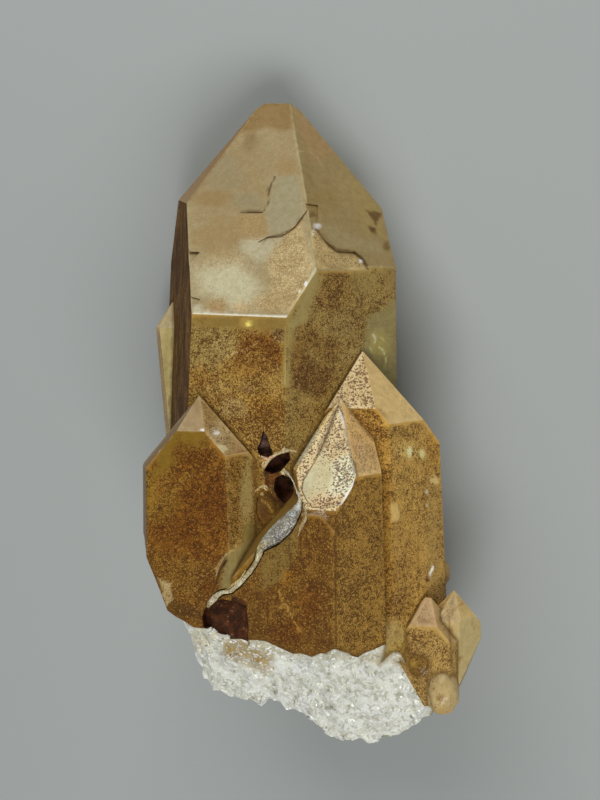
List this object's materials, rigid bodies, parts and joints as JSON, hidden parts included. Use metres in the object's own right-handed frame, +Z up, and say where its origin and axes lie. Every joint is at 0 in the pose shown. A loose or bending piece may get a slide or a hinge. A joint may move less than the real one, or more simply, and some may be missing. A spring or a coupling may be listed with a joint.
{
  "type": "quartz point",
  "caption": "Natural quartz point: a large pointed crystal with smaller parallel crystals grown on its sides, broken off at a rough root, lying on its flat back.",
  "frame": {"origin": "centre of the bounding box in X and Y, on the surface that the object rests on", "axes": "+Y runs along the crystals toward their tips, +Z is up out of the surface it rests on, +X is to the right seen from above with the tips up"},
  "size_m": [0.0766, 0.133, 0.053],
  "materials": {
    "quartz": "clear quartz with brown speckles under a clear skin, satin on its tip faces, snowy and sugary on its broken root",
    "mica": "grey flaky mica with pale edges"
  },
  "bodies": {
    "root": {"quartz_cluster": "quartz", "mica_seam": "mica"}
  },
  "joints": []
}
